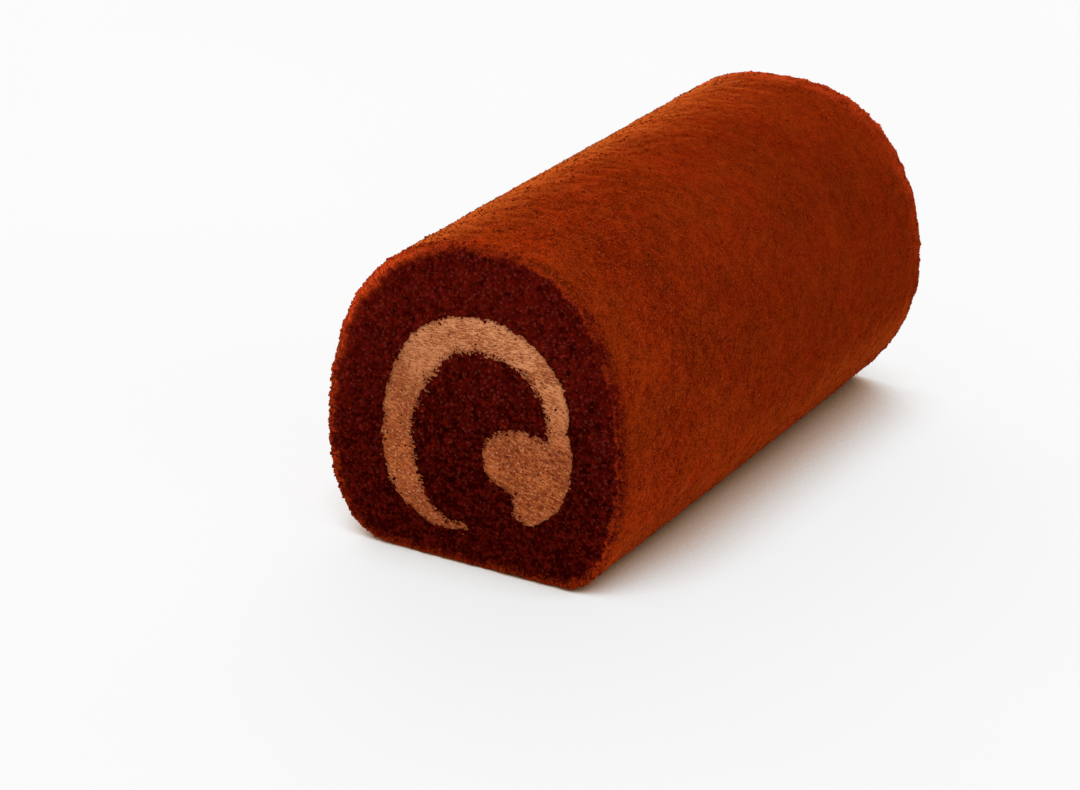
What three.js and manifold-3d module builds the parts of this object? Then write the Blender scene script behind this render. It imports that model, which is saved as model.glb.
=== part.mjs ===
// Chocolate Swiss roll: one sheet of sponge rolled round a spread of whipped cream, with both ends
// cut square. Millimetres, +Z up. The roll lies along Y on its own flattened base in the plane
// z = 0, with the origin in the middle of its footprint. The freshly cut end faces -Y.
import * as THREE from 'three';
import { mergeVertices } from 'three/addons/utils/BufferGeometryUtils.js';
import Module from 'manifold-3d';

// ---------------------------------------------------------------- driving dimensions, mm

const LENGTH = 190; // cut end to cut end

// The outline is a round that has sagged under its own weight: four quarters of a superellipse
// meet at the crown and at the waist, and the underside is pressed flat. It is squarer at the
// freshly cut end than at the far one. A power of 2 is an ellipse, and more is squarer.
const NEAR = {
  width: 88,
  height: 88.8,
  middle: -1.3, // sideways place of the middle of the width
  crown: 2.9, // sideways place of the crown
  waist: 30.5, // the widest level, above the base
  sink: 11.5, // how much of the round is pressed flat below the base
  topLeft: 2.49,
  topRight: 2.29,
  below: 2.13,
};
const FAR = {
  width: 91.2,
  height: 89.4,
  middle: 0,
  crown: 0.8,
  waist: 35.8,
  sink: 11.5,
  topLeft: 2.6,
  topRight: 2.17,
  below: 1.8,
};
const FOOT = 3.6; // rounding where the side turns under, either side of the base level

// The part of the underside that touches the plate: a strip, a little waisted halfway along.
const STRIP = 24; // half its width at the two ends
const STRIP_WAIST = 1.5; // how much narrower that half is halfway along
const STRIP_LIFT = 0.12; // rise of the base level outside the strip, for each mm of width

// The outer skin
const OUTLINE_POINTS = 112;
const OUTLINE_SAMPLES = 1440; // fine steps from which the evenly spaced points are taken
const SKIN_STEP = 8; // between rings along the roll
const WRINKLE = 0.3; // height of the soft wrinkles, above and below the plain form
const WRINKLE_SIZE = 13;
const WRINKLE_SQUASH = 1.7; // the wrinkles are this many times wider than long
const CRUMB = 0.3; // roughness of the crumbly rim at each cut
const CRUMB_SIZE = 2;
const RIM_RADIUS = 1.5; // rounding of the rim
const RIM_STEPS = [0, 0.25, 0.8, 1.6, 3.2]; // rings near a cut end, from the end inwards

// The cream is a spiral band that thins out to a tip under the core, and ends in two lobes.
const SPIRAL_X = 1; // centre of the spiral
const SPIRAL_Z = 35;
const BAND_START = -2; // angle of the first station about the centre, degrees
const STATION_STEP = 22; // degrees from one station to the next
const BAND = [
  // radius of the middle of the band, thickness
  [22.0, 10.0],
  [23.7, 6.1],
  [27.0, 7.7],
  [28.9, 8.0],
  [29.6, 9.6],
  [29.8, 9.3],
  [28.1, 10.7],
  [25.9, 9.8],
  [25.2, 8.7],
  [25.5, 9.1],
  [26.9, 8.1],
  [27.0, 4.1],
  [24.7, 1.0],
];
const POINTS_PER_STATION = 5;
const LOBES = [
  // centre x and z, half-length, half-width, lean of the long axis in degrees
  { x: 14, z: 31.8, long: 12.4, wide: 9.3, lean: -2 },
  { x: 19.6, z: 26.9, long: 12.5, wide: 6.5, lean: 62 },
];
const LOBE_POINTS = 36;
const CREAM_RECESS = 0.2; // the cream stands this far behind each cut
const GAP = 0.3; // between the cream and the sponge round it

// The seam: the outer end of the sheet shows underneath as a shallow crease along the roll.
const SEAM_X = 14;
const SEAM_WIDTH = 2.2;
const SEAM_DEPTH = 0.9;

const wasm = await Module();
wasm.setup();

// ---------------------------------------------------------------- helpers

const TAU = 2 * Math.PI;
const radians = THREE.MathUtils.degToRad;
const { lerp, smoothstep } = THREE.MathUtils;

// A repeatable random number from 0 to 1 for a grid cell.
function hash(i, j, k) {
  const n = Math.sin(i * 127.1 + j * 311.7 + k * 74.7) * 43758.5453;
  return n - Math.floor(n);
}

// Smooth noise from -1 to 1 whose lumps are about one unit across.
function noise(x, y, z) {
  const cell = [x, y, z].map(Math.floor);
  const [u, v, w] = [x, y, z].map((value, axis) => smoothstep(value - cell[axis], 0, 1));
  const corner = (i, j, k) => hash(cell[0] + i, cell[1] + j, cell[2] + k);
  const edge = (j, k) => lerp(corner(0, j, k), corner(1, j, k), u);
  const face = (k) => lerp(edge(0, k), edge(1, k), v);
  return 2 * lerp(face(0), face(1), w) - 1;
}

// A closed mesh through rings of equally many points, each ring { y, points: [Vector2(x, z)] },
// with the rings in order of rising y and their points anticlockwise seen from -Y.
function loft(rings) {
  const count = rings[0].points.length;
  const positions = rings.flatMap(({ y, points }) => points.flatMap((p) => [p.x, y, p.y]));
  const index = [];
  for (let r = 0; r + 1 < rings.length; r += 1) {
    for (let i = 0; i < count; i += 1) {
      const [a, b] = [r * count + i, r * count + ((i + 1) % count)];
      index.push(a, a + count, b + count, a, b + count, b);
    }
  }
  const last = (rings.length - 1) * count;
  for (const [a, b, c] of THREE.ShapeUtils.triangulateShape(rings[0].points, [])) {
    index.push(a, b, c);
  }
  for (const [a, b, c] of THREE.ShapeUtils.triangulateShape(rings.at(-1).points, [])) {
    index.push(last + a, last + c, last + b);
  }
  const geometry = new THREE.BufferGeometry();
  geometry.setAttribute('position', new THREE.Float32BufferAttribute(positions, 3));
  geometry.setIndex(index);
  return geometry;
}

// A straight bar of one section along the roll, from y = -reach to y = reach.
function bar(points, reach) {
  return loft([{ y: -reach, points }, { y: reach, points }]);
}

function solid(geometry) {
  const merged = mergeVertices(geometry, 1e-4);
  const made = new wasm.Manifold(
    new wasm.Mesh({
      numProp: 3,
      vertProperties: new Float32Array(merged.attributes.position.array),
      triVerts: new Uint32Array(merged.index.array),
    }),
  );
  if (made.volume() < 0) throw new Error('a solid is inside out');
  return made;
}

function geometryOf(manifold) {
  const mesh = manifold.getMesh();
  const geometry = new THREE.BufferGeometry();
  geometry.setAttribute('position', new THREE.Float32BufferAttribute(mesh.vertProperties, 3));
  geometry.setIndex([...mesh.triVerts]);
  return geometry;
}

// ---------------------------------------------------------------- outline of the sponge

// The form of the outline at one place along the roll.
function formAt(y) {
  const share = y / LENGTH + 0.5;
  const sizes = Object.keys(NEAR).map((size) => [size, lerp(NEAR[size], FAR[size], share)]);
  return Object.fromEntries(sizes);
}

// A point of the sagged round at an angle about its crown line, at the waist.
function roundPoint(form, angle) {
  const [c, s] = [Math.cos(angle), Math.sin(angle)];
  const across = form.width / 2 + Math.sign(c) * (form.middle - form.crown);
  const up = s > 0 ? form.height - form.waist : form.waist + form.sink;
  const above = c > 0 ? form.topRight : form.topLeft;
  const power = 2 / (s > 0 ? above : form.below);
  const x = form.crown + across * Math.sign(c) * Math.abs(c) ** power;
  const z = form.waist + up * Math.sign(s) * Math.abs(s) ** power;
  return new THREE.Vector2(x, pressed(z));
}

// The plate stops the underside: a height below the base becomes 0, through a soft rounding.
function pressed(z) {
  if (z > FOOT) return z;
  return z < -FOOT ? 0 : (z + FOOT) ** 2 / (4 * FOOT);
}

// Lays the strip that touches the plate flat, with a point of the outline on each of its edges.
function layFlat(points, y) {
  const half = STRIP - STRIP_WAIST * (1 - ((2 * y) / LENGTH) ** 2);
  for (const edge of [-half, half]) {
    const corner = new THREE.Vector2(edge, 0);
    const distances = points.map((point) => point.distanceTo(corner));
    points[distances.indexOf(Math.min(...distances))].copy(corner);
  }
  for (const point of points) {
    if (point.y > FOOT) continue;
    const outside = Math.abs(point.x) - half;
    const lift = STRIP_LIFT * outside * (1 - point.y / FOOT);
    point.y = outside > 0 ? point.y + lift : 0;
  }
}

// Evenly spaced points round the outline at one place, each with its outward direction.
function outline(y) {
  const form = formAt(y);
  const turn = TAU / OUTLINE_SAMPLES;
  const turns = Array.from({ length: OUTLINE_SAMPLES + 1 }, (_, i) => i * turn);
  const dense = turns.map((angle) => roundPoint(form, angle));
  const reach = [0];
  dense.slice(1).forEach((p, i) => reach.push(reach[i] + p.distanceTo(dense[i])));
  const points = [];
  let i = 0;
  for (let n = 0; n < OUTLINE_POINTS; n += 1) {
    const wanted = (n / OUTLINE_POINTS) * reach[OUTLINE_SAMPLES];
    while (reach[i + 1] < wanted) i += 1;
    const t = (wanted - reach[i]) / (reach[i + 1] - reach[i]);
    points.push(dense[i].clone().lerp(dense[i + 1], t));
  }
  layFlat(points, y);
  return points.map((point, n) => {
    const ahead = points[(n + 1) % OUTLINE_POINTS];
    const behind = points[(n + OUTLINE_POINTS - 1) % OUTLINE_POINTS];
    const outward = new THREE.Vector2(ahead.y - behind.y, behind.x - ahead.x).normalize();
    return { point, outward };
  });
}

// Smooth noise from -1 to 1 at a place of the roll, in lumps of one size.
function lumps(point, y, size) {
  return noise(point.x / size, y / size, point.y / size);
}

// How far the skin lies below its plain form at a place: wrinkles, and a crumbly rounded rim.
function skinDepth(point, y) {
  const toCut = LENGTH / 2 - Math.abs(y);
  const wrinkle = WRINKLE * lumps(point, WRINKLE_SQUASH * y, WRINKLE_SIZE);
  const crumb = CRUMB * lumps(point, y, CRUMB_SIZE);
  const radius = RIM_RADIUS + crumb;
  const past = Math.max(0, 1 - toCut / radius);
  const rim = radius * (1 - Math.sqrt(1 - past * past));
  const nearCut = 1 - smoothstep(toCut, 0, RIM_STEPS.at(-1));
  return wrinkle + rim + crumb * nearCut;
}

// The outline at one place along the roll. The base stays flat.
function skinRing(y) {
  const points = outline(y).map(({ point, outward }) => {
    const lifted = smoothstep(point.y, 0, FOOT);
    return point.clone().addScaledVector(outward, -skinDepth(point, y) * lifted);
  });
  return { y, points };
}

// ---------------------------------------------------------------- outline of the cream

// The band as a closed outline, grown by a margin: out along one side and back along the other.
function bandOutline(margin) {
  const rows = BAND.map((row, i) => new THREE.Vector3(BAND_START + i * STATION_STEP, ...row));
  const stations = new THREE.CatmullRomCurve3(rows, false, 'catmullrom', 0.5);
  const steps = (BAND.length - 1) * POINTS_PER_STATION;
  const centre = new THREE.Vector2(SPIRAL_X, SPIRAL_Z);
  const outer = [];
  const inner = [];
  for (let i = 0; i <= steps; i += 1) {
    const { x: angle, y: radius, z: thickness } = stations.getPoint(i / steps);
    const across = new THREE.Vector2(Math.cos(radians(angle)), Math.sin(radians(angle)));
    const half = thickness / 2 + margin;
    outer.push(centre.clone().addScaledVector(across, radius + half));
    inner.push(centre.clone().addScaledVector(across, radius - half));
  }
  const tipTurn = radians(rows.at(-1).x);
  const onward = new THREE.Vector2(-Math.sin(tipTurn), Math.cos(tipTurn));
  const tip = outer.at(-1).clone().lerp(inner.at(-1), 0.5);
  tip.addScaledVector(onward, BAND.at(-1)[1] + margin);
  return [...outer, tip, ...inner.reverse()];
}

function lobeOutline({ x, z, long, wide, lean }, margin) {
  return Array.from({ length: LOBE_POINTS }, (_, i) => {
    const turn = (i / LOBE_POINTS) * TAU;
    const point = new THREE.Vector2(
      (long + margin) * Math.cos(turn),
      (wide + margin) * Math.sin(turn),
    );
    return point.rotateAround(new THREE.Vector2(), radians(lean)).add(new THREE.Vector2(x, z));
  });
}

// The band and its lobes as one solid, grown by a margin.
function creamSolid(margin, reach) {
  const band = solid(bar(bandOutline(margin), reach));
  return LOBES.reduce((sum, lobe) => sum.add(solid(bar(lobeOutline(lobe, margin), reach))), band);
}

// ---------------------------------------------------------------- pieces

// Places of the rings along the roll: close together at the rims, even in between.
function ringPlaces() {
  const end = LENGTH / 2;
  const near = RIM_STEPS.map((step) => -end + step);
  const inside = end - RIM_STEPS.at(-1);
  const steps = Math.round((2 * inside) / SKIN_STEP);
  const middle = Array.from({ length: steps - 1 }, (_, i) => lerp(-inside, inside, (i + 1) / steps));
  return [...near, ...middle, ...near.map((y) => -y).reverse()];
}

function seamCrease() {
  const corners = [
    new THREE.Vector2(SEAM_X - SEAM_WIDTH / 2, -SEAM_DEPTH),
    new THREE.Vector2(SEAM_X + SEAM_WIDTH / 2, -SEAM_DEPTH),
    new THREE.Vector2(SEAM_X, SEAM_DEPTH),
  ];
  return solid(bar(corners, LENGTH));
}

function sponge() {
  const body = solid(loft(ringPlaces().map(skinRing)));
  return body.subtract(creamSolid(GAP, LENGTH)).subtract(seamCrease());
}

function cream() {
  return creamSolid(0, LENGTH / 2 - CREAM_RECESS);
}

function named(name, manifold, colour, roughness) {
  const material = new THREE.MeshStandardMaterial({ color: colour, roughness, metalness: 0 });
  const mesh = new THREE.Mesh(geometryOf(manifold), material);
  mesh.name = name;
  return mesh;
}

const roll = new THREE.Group();
roll.add(named('sponge', sponge(), 0x7a2408, 0.95));
roll.add(named('cream', cream(), 0xb9825c, 0.6));

export default roll;
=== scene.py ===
"""Looks of the chocolate Swiss roll. Lengths are in millimetres, and become metres where a mesh,
a material or the camera is made. The roll lies along Y, and its freshly cut end faces -Y. A
span is a pair of numbers: where a change starts and where it ends."""

import itertools
import math
from functools import reduce
from types import SimpleNamespace

import bpy
import numpy as np
from mathutils import Matrix, Vector, noise
from mathutils.bvhtree import BVHTree
from mathutils.geometry import delaunay_2d_cdt
from mathutils.kdtree import KDTree


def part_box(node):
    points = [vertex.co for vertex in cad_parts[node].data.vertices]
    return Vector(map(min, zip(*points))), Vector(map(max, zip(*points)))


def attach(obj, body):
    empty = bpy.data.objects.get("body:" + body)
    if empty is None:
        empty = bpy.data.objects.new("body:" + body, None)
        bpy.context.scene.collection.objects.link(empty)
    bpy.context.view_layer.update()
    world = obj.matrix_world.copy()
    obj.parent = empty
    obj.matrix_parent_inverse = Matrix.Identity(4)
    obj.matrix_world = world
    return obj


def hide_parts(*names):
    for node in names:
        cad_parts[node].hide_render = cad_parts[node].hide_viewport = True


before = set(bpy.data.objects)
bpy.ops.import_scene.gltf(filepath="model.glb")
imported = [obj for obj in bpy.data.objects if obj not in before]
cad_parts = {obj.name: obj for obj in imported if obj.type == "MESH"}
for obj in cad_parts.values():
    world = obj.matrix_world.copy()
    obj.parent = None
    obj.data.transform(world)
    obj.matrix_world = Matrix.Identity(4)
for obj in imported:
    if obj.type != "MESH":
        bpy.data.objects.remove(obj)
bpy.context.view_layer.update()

MM = 0.001
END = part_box("sponge")[1].y / MM  # the cut ends are at -END and END
SEED = 7

# Camera
CAMERA_AT = (406.76, -857.65, 388.0)
CAMERA_AIM = (17.64, -95.0, 52.5)
CAMERA_ROLL = 2.98  # degrees
CAMERA_LENS = 119.73
SENSOR_WIDTH = 36
CAMERA_REACH = 20000  # it sees this far

# Outer skin
AXIS_Z = 42  # height of the line that the skin is measured from
OUTLINE_STEPS = 1440
COLUMNS = 240
ROW_STEP = 1.1
COLUMN_BLUR = 1.0  # in columns
ROW_BLUR = 2.0  # in rows
PLAIN_END = 3.3  # the CAD's own rim is left out this far from each cut
SKIN_BUMPS = ((1.9, 0.6), (3.7, 0.6))  # sizes and strengths
BUMP_HEIGHT = 0.13
BUMP_TONE = 0.7  # how much lighter a bump is, painted light on its top
DIMPLE_SPACING = 4.6
DIMPLE_SPAN = (0.36, 0.1)  # from its rim to its floor, in spacings
DIMPLE_DEPTH = 0.3
DIMPLE_TONE = 1.2  # how much darker a dimple is, painted shade in its hollow
DIMPLED = (-10, 60)  # dimples come in between these places along Y
DIMPLE_PATCH = 19  # and lie in patches of this size

# Rims
RIM = 1.3  # rounding of the rim
RIM_LUMPS = (2.5, 0.8)  # size of its uneven stretches, and how much they are rounder
RIM_TURNS = (0, 0.2, 0.4, 0.6, 0.8, 1)  # shares of the quarter turn from the skin to the cut
RIM_REACH = 2.2  # the plain rows of the skin stop here
RIM_BLEND = 2.4  # the skin's colour fades out this far into the cut
RIM_WORN = 0.35  # the rims have this much wear all round
RUBBED_AND_LIT_WAY = np.array([-0.75, 0.66])  # the skin rubs over the rim on this side, which faces the light and carries a painted highlight
RUBBED_FALL = 3.5
RUBBED_BLEND = 1.4  # its colour goes this much farther there
RUBBED_ROUND = 0.9  # and the rim is this much rounder
BARE_WAY = np.array([0.96, 0.28])  # here the crust is thin, and the dark crumb shows past the rim
BARE_FALL = 3
BARE_REACH = 5.0
BARE_CUT = 0.75
NEAR_REACH = 2.5  # the near rim's wear and painted highlight reach this far from the cut
NEAR_CALM = 0.6  # share of the crumb's relief that is left at the near rim
FAR_REACH = 4.5
FAR_CALM = 0.2
FAR_WEAR_AND_HIGHLIGHT = (0.25, 0.7)  # wear and painted highlight of the far rim at its sides, and how much more at its top, which faces the light
FOOT_SPAN = (2, 20)  # the rims' wear and painted highlight fade low down, by the table
FOOT_WEAR_AND_HIGHLIGHT = 0.1

# Open crumb of the cuts
CRUMB_SPACING = 0.5  # between points
CRUMB_SWELL = (7, 0.2)  # size and height of the broad swells
CRUMB_PATCH = (3, 0.3)  # size and strength of the light and dark patches
CRUMB_GRAINS = ((2.3, 0.45), (1.3, 0.4))  # sizes and heights
GRAIN_ROUND = 0.5  # how far a grain's round top reaches, in grains
GRAIN_TONE = 0.8  # how much lighter a grain is, painted light on its top
PORE_SPACING = 5.5
PORE_SPAN = (0.24, 0.06)
PORE_DEPTH = 0.8
# painted shade: how much darker a pore is
PORE_TONE = 1.5
CLEAR = 0.4  # points stay this far from an outline, in spacings
JOIN = 1e-6  # points closer than this are one

# Cream
CREAM_SPACING = 0.26
CREAM_EDGE_STEP = 0.27
CREAM_BLUR = 0.7  # the CAD's corners are smoothed over this length
CHANNEL_BLUR = 3
CREAM_BEHIND = 0.12  # the cream lies this far behind the cut
CREAM_MARGIN = 0.15  # it is cut this much wider than the CAD's, which leaves a gap round it
WALL_DEPTH = 1.2  # behind its face it goes back to the CAD's outline
CAD_GAP = 0.3
CORE_BLUR = 1.5
EDGE_STEPS = (2.7, 0.36)  # size and depth of the soft steps in its edge
NOTCH = 0.8
NOTCH_DEPTH = (0.12, 0.2)  # of its small notches, and how much more on the side of the core
DRAG = 0.6  # size of the points where the knife has dragged it
DRAG_REACH = 1.1
DRAG_LEAST = 0.15
DRAG_OUTER = 0.35  # share of the drag on the side away from the core
STROKE_TURN = math.radians(-16)  # the knife's way across the cut, from +X towards +Z
TOP_TURN = math.radians(5)  # it turns to this near the top of the roll
TURN_SPAN = (42, 66)  # between these heights
STROKE = np.array([math.cos(STROKE_TURN), math.sin(STROKE_TURN)])
LIP = 0.3  # the cream is drawn up this much where the knife left it
LIP_REACH = 0.5
STAIN_REACH = 0.7  # crumb has stained it this far from its edge
BLOB = (16.5, 30.0)  # middle of the thick end of the cream
BLOB_SPAN = (14, 8)  # its wrinkles come in between these distances from there
FINE_STREAKS = (2.2, 0.45, 0.05)  # length, width and height
FINE_LUMPS = (0.7, 0.04)
WRINKLE_STREAKS = (2.0, 0.8, 0.26)
WRINKLE_LUMPS = (0.9, 0.26)
CREAM_SWELL = (4, 0.09)
DENT_SPACING = 4.2
DENT_SPAN = (0.13, 0.05)
DENT_DEPTH = 0.35
TONE_HEIGHT = 0.22  # relief of this height has a tone of 1, which paints shade low down and light high up
TONE_MOST = 1.6

# Loose bits: how many, how large across, how much their sizes vary, and their tones
NAP_COUNT = 29500
NAP_SIZE = 0.62
NAP_VARY = 0.3
NAP_TONES = (-0.5, 1)
NAP_SUNK = 0.12  # how far a bit's middle lies below the surface, as a share of its size
NAP_FOOT = 1  # no bits this low down
RIM_CRUMBS = 2000
RIM_CRUMB = 0.6
FAR_RIM_CRUMB = 0.4
RIM_CUTS = (0.1, 0.65)  # the least share that each has of the cut's colour
RIM_CUT_VARY = (0.6, 1.2)
CUT_CRUMBS = 2300
CUT_CRUMB = 0.7
CUT_REACH = 0.8  # they stand closer together this near the cream
DRAGGED_CRUMBS = 420
DRAGGED_CRUMB = 0.42
DRAGGED_REACH = 0.35  # from the cream's edge
DRAGGED_PLAIN = 0.01  # how thick they lie elsewhere
DRAGGED_OUTER = 0.2  # and on the side away from the core
CRUMB_VARY = 0.35
CRUMB_TONES = (-0.7, 1)
CRUMB_SUNK = 0.0
CRUMB_FOOT = 0.6
FLECKS = 260
FLECK = 0.4
FLECK_REACH = 0.3
FLECK_OUTER = 0.1
FLECK_LOWEST = -0.1
FLECK_EDGES = (0, 0.7)
FLECK_TONES = (-1, 1)
BIT_SQUASH = (0.55, 1.25)
BIT_UNEVEN = (0.75, 1.25)
BIT_DRAWN = 1.2  # how much longer the drawn out ones are

# Light
SKY = 0.65
KEY = 8.2  # extra brightness of the sky at its brightest
KEY_WAY = Vector((-0.52, 0.83, 0.2)).normalized()  # where it is brightest
KEY_FALL = 7  # how fast that fades away from there
BACKDROP = 0.98
FLOOR_HALF = 6000
# the floor glows, painted light that stands in for a lit table
FLOOR_PAINTED_GLOW = 0.795
CONTACT = 36  # the floor has a painted shadow this close to the roll

# Textures: sizes of their lumps, and spots by spacing, rim, middle and strength
GRAIN = 0.6
GRAIN_STRETCH = (1.1, 0.8, 1.1)
CRUMB_TEXTURE = 0.8
CLUMP = 1.8
BLOTCH = 5
TINT = 13
PATCH = 34
STREAK = 0.24
STREAK_STRETCH = (0.16, 1, 1)
CREAM_GRAIN = 0.5
CREAM_BLOTCH = 9
FLOOR_PATCH = 300
# the skin's and the cut's specks are painted glints
SKIN_GLINT_DOTS = (1.1, 0.27, 0.12, 0.4)
CUT_GLINT_DOTS = (1.3, 0.42, 0.1, 0.3)
GLINTS = (1.1, 0.34, 0.12, 0.55)
ROUND_HOLES = (1.9, 0.17, 0.09, 0.8)
DRAWN_HOLES = (0.7, 0.22, 0.1, 0.45)
GRAIN_BUMP = 0.25
STREAK_BUMP = 0.2

# What the textures do: a span of the noise, and the values that it goes from and to
SKIN_GRAINS = (0.36, 0.64, -0.2, 0.2)
SKIN_BLOTCHES = (0.35, 0.65, -0.08, 0.08)
SKIN_PATCHES = (0.35, 0.65, 0.3, 0.43)
SKIN_TINTS = (0.4, 0.6)
CLUMPS = (0.36, 0.64, -0.1, 0.1)
CUT_GRAINS = (0.36, 0.64, -0.09, 0.09)
RAGGED_BLOTCHES = (0.35, 0.65, -0.12, 0.12)
WORN_GRAINS = (0.4, 0.6, 0.3, 1.0)
WORN_BLOTCHES = (0.35, 0.6, 0.3, 1.3)
SPONGE_ROUGH = (0.3, 0.7, 0.95, 0.7)
CREAM_STREAKS = (0.38, 0.62)
CREAM_GRAINS = (0.36, 0.64, -0.24, 0.24)
CREAM_BLOTCHES = (0.35, 0.65, -0.25, 0.25)
CREAM_ROUGH = (0.3, 0.7, 0.75, 0.5)
STAIN_GRAINS = (0.4, 0.65, 0.3, 0.9)
FLOOR_TONES = (0.3, 0.7)

# What changes over the roll: a span of places, and the values that it goes from and to
CLUMPS_UP = (15, 50, 1.6, 1.0)
SKIN_CALM = (-90, 50, 1.0, 0.55)  # the skin is more even towards the far end
SKIN_LIGHTER = (-90, -60, 0.05, 0.0)  # and a little lighter by the near rim
# painted glints on the skin fade towards the far end
SKIN_GLINTS_ALONG = (-90, 30, 1.0, 0.2)
CUT_SHADE_UP = (20, 80, -0.1, 0.13)  # painted shade: the cut is lighter at the top than low down
CUT_TONE_LEFT = (-42, -24, 0.12, 0.0)  # and at its sides
CUT_TONE_RIGHT = (24, 42, 0.0, 0.08)
# painted glints on the cut are fewer low down
CUT_GLINTS_UP = (0, 50, 0.4, 1.0)
SHEEN_UP = (5, 35, 0.2, 1.0)
CREAM_TONE_LEFT = (-26, -8, -0.08, 0.0)
CREAM_SHADE_DOWN = (68, 30)  # painted shade: the cream darkens from the top down
GLINTS_DOWN = (60, 35)
FLOOR_LIT = (-100, -40, 0.68, 0.86)  # the floor's shadow is narrower by the fresh cut

# How strongly each thing counts
# the relief tones paint shade into hollows and light on proud parts
SKIN_RELIEF = 0.12
CUT_RELIEF = 0.25
CUT_TONE = 0.25
CUT_CLUMPS = 1.1
CREAM_RELIEF = 0.3
STAIN_MOST = 0.8
WORN_RED = (0.0, 0.35, 0.0, 0.8)  # by the skin's wear and painted highlight
# painted highlight on the rims that face the light
PAINTED_HIGHLIGHT_SPAN = (0.3, 1.0)
WORN_RAGGED = (RIM_WORN, 0.9, 1.15, 0.5)
HIGHLIGHT_OUTER = (0.4, 0.62, 1.0, 0.0)  # by how much it is cut
CUT_SHARE = (0.36, 0.76)
SHEEN_FACING = (0.66, 0.93)  # by how much the surface turns away
SHEEN_CUT = (0, 1, 1.0, 0.3)
SHADOW_DEEPEST = 0.06
SHADOW_WARM = (0.0, 0.93)

# Colours
SHEEN = (1.0, 0.22, 0.035, 1)
SKIN_DARK = (0.11, 0.0050, 0.0004, 1)
SKIN_LIGHT = (0.46, 0.041, 0.0040, 1)
SKIN_BROWN = (0.94, 1.10, 0.95, 1)
# painted glint on the skin
SKIN_PAINTED_GLINT = (0.55, 0.105, 0.05, 1)
RIM_RED = (0.52, 0.047, 0.009, 1)
# painted highlight on the rims, palest where they face the light
RIM_PAINTED_HIGHLIGHT = (0.94, 0.098, 0.017, 1)
CUT_DARK = (0.026, 0.0005, 0.0002, 1)
CUT_LIGHT = (0.22, 0.0105, 0.0045, 1)
# painted glint on the cut crumb
CUT_PAINTED_GLINT = (0.32, 0.054, 0.034, 1)
CREAM_PALE = (0.88, 0.350, 0.145, 1)
CREAM_WARM = (0.40, 0.096, 0.022, 1)
# painted shade, multiplied in on the lower cream
CREAM_SHADE_TINT = (0.68, 0.43, 0.22, 1)
CREAM_GLINT = (0.88, 0.40, 0.18, 1)
# crumb stain at the cream's edge, and painted shade in its holes
CREAM_STAIN_AND_HOLE_SHADE = (0.10, 0.015, 0.004, 1)
FLOOR_DARK = (0.145, 0.144, 0.142, 1)
FLOOR_LIGHT = (0.155, 0.154, 0.153, 1)
# painted reflection of the roll, warming the floor's painted shadow
PAINTED_BOUNCE_WARM = (1, 0.4, 0.06, 1)
WHITE = (1, 1, 1, 1)


# ---------------------------------------------------------------- numbers


def step(values, low, high):
    """0 at low and beyond, 1 at high and beyond, smooth in between."""
    t = np.clip((values - low) / (high - low), 0, 1)
    return t * t * (3 - 2 * t)


def waves(points, size, height=1.0):
    """Smooth noise in lumps of that size, about -height to height."""
    spread = 1.8
    found = [noise.noise(p) for p in map(Vector, (points / size).tolist())]
    return height * (spread * np.array(found))


def cells(points, size):
    """Distances to the nearest and the next of random places of that spacing, in spacings."""
    found = [noise.voronoi(p)[0][:2] for p in map(Vector, (points / size).tolist())]
    return np.array(found).T


def blurred(values, steps):
    """Values round a closed loop, smoothed over that many steps."""
    turns = np.fft.fftfreq(len(values))
    kept = np.exp(-2 * (math.pi * steps * turns) ** 2)
    return np.fft.ifft(np.fft.fft(values, axis=0) * kept[:, None], axis=0).real


def outward(loop):
    """Unit normals of a closed loop that runs anticlockwise."""
    along = np.roll(loop, -1, 0) - np.roll(loop, 1, 0)
    across = np.stack([along[:, 1], -along[:, 0]], 1)
    return across / np.linalg.norm(across, axis=1, keepdims=True)


def evenly(loop, count):
    """That many even points along a closed loop."""
    closed = np.vstack([loop, loop[:1]])
    reach = np.r_[0, np.cumsum(np.linalg.norm(np.diff(closed, axis=0), axis=1))]
    wanted = np.linspace(0, reach[-1], count, endpoint=False)
    return np.stack([np.interp(wanted, reach, axis) for axis in closed.T], 1)


def length_of(loop):
    """Length of a closed loop."""
    return np.linalg.norm(np.roll(loop, -1, 0) - loop, axis=1).sum()


def inside(points, loop):
    """Whether each point is inside a closed loop."""
    batch = 2000
    found = []
    ends = np.roll(loop, -1, 0)
    rise = np.where(ends[:, 1] == loop[:, 1], 1e-9, ends[:, 1] - loop[:, 1])
    for part in np.array_split(points, 1 + len(points) // batch):
        x, z = part[:, :1], part[:, 1:]
        spans = (loop[:, 1] > z) != (ends[:, 1] > z)
        crossing = loop[:, 0] + (z - loop[:, 1]) / rise * (ends[:, 0] - loop[:, 0])
        found.append((spans & (x < crossing)).sum(1) % 2 == 1)
    return np.concatenate(found)


def scattered(loop, spacing, rng):
    """Points all over a closed loop's box, loosely even."""
    row_share = 0.87  # between rows, in spacings
    shift = 0.3
    low, high = loop.min(0), loop.max(0)
    points = []
    for number, z in enumerate(np.arange(low[1], high[1], spacing * row_share)):
        x = np.arange(low[0], high[0], spacing) + spacing / 2 * (number % 2)
        points.append(np.stack([x, np.full_like(x, z)], 1))
    points = np.vstack(points)
    return points + rng.uniform(-shift, shift, points.shape) * spacing


def nearest(loop, points):
    """For each point, which point of the loop is nearest, and how far it is."""
    tree = KDTree(len(loop))
    for number, (x, z) in enumerate(loop.tolist()):
        tree.insert((x, z, 0), number)
    tree.balance()
    found = [tree.find((x, z, 0)) for x, z in points.tolist()]
    return np.array([f[1] for f in found]), np.array([f[2] for f in found])


# ---------------------------------------------------------------- meshes


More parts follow.
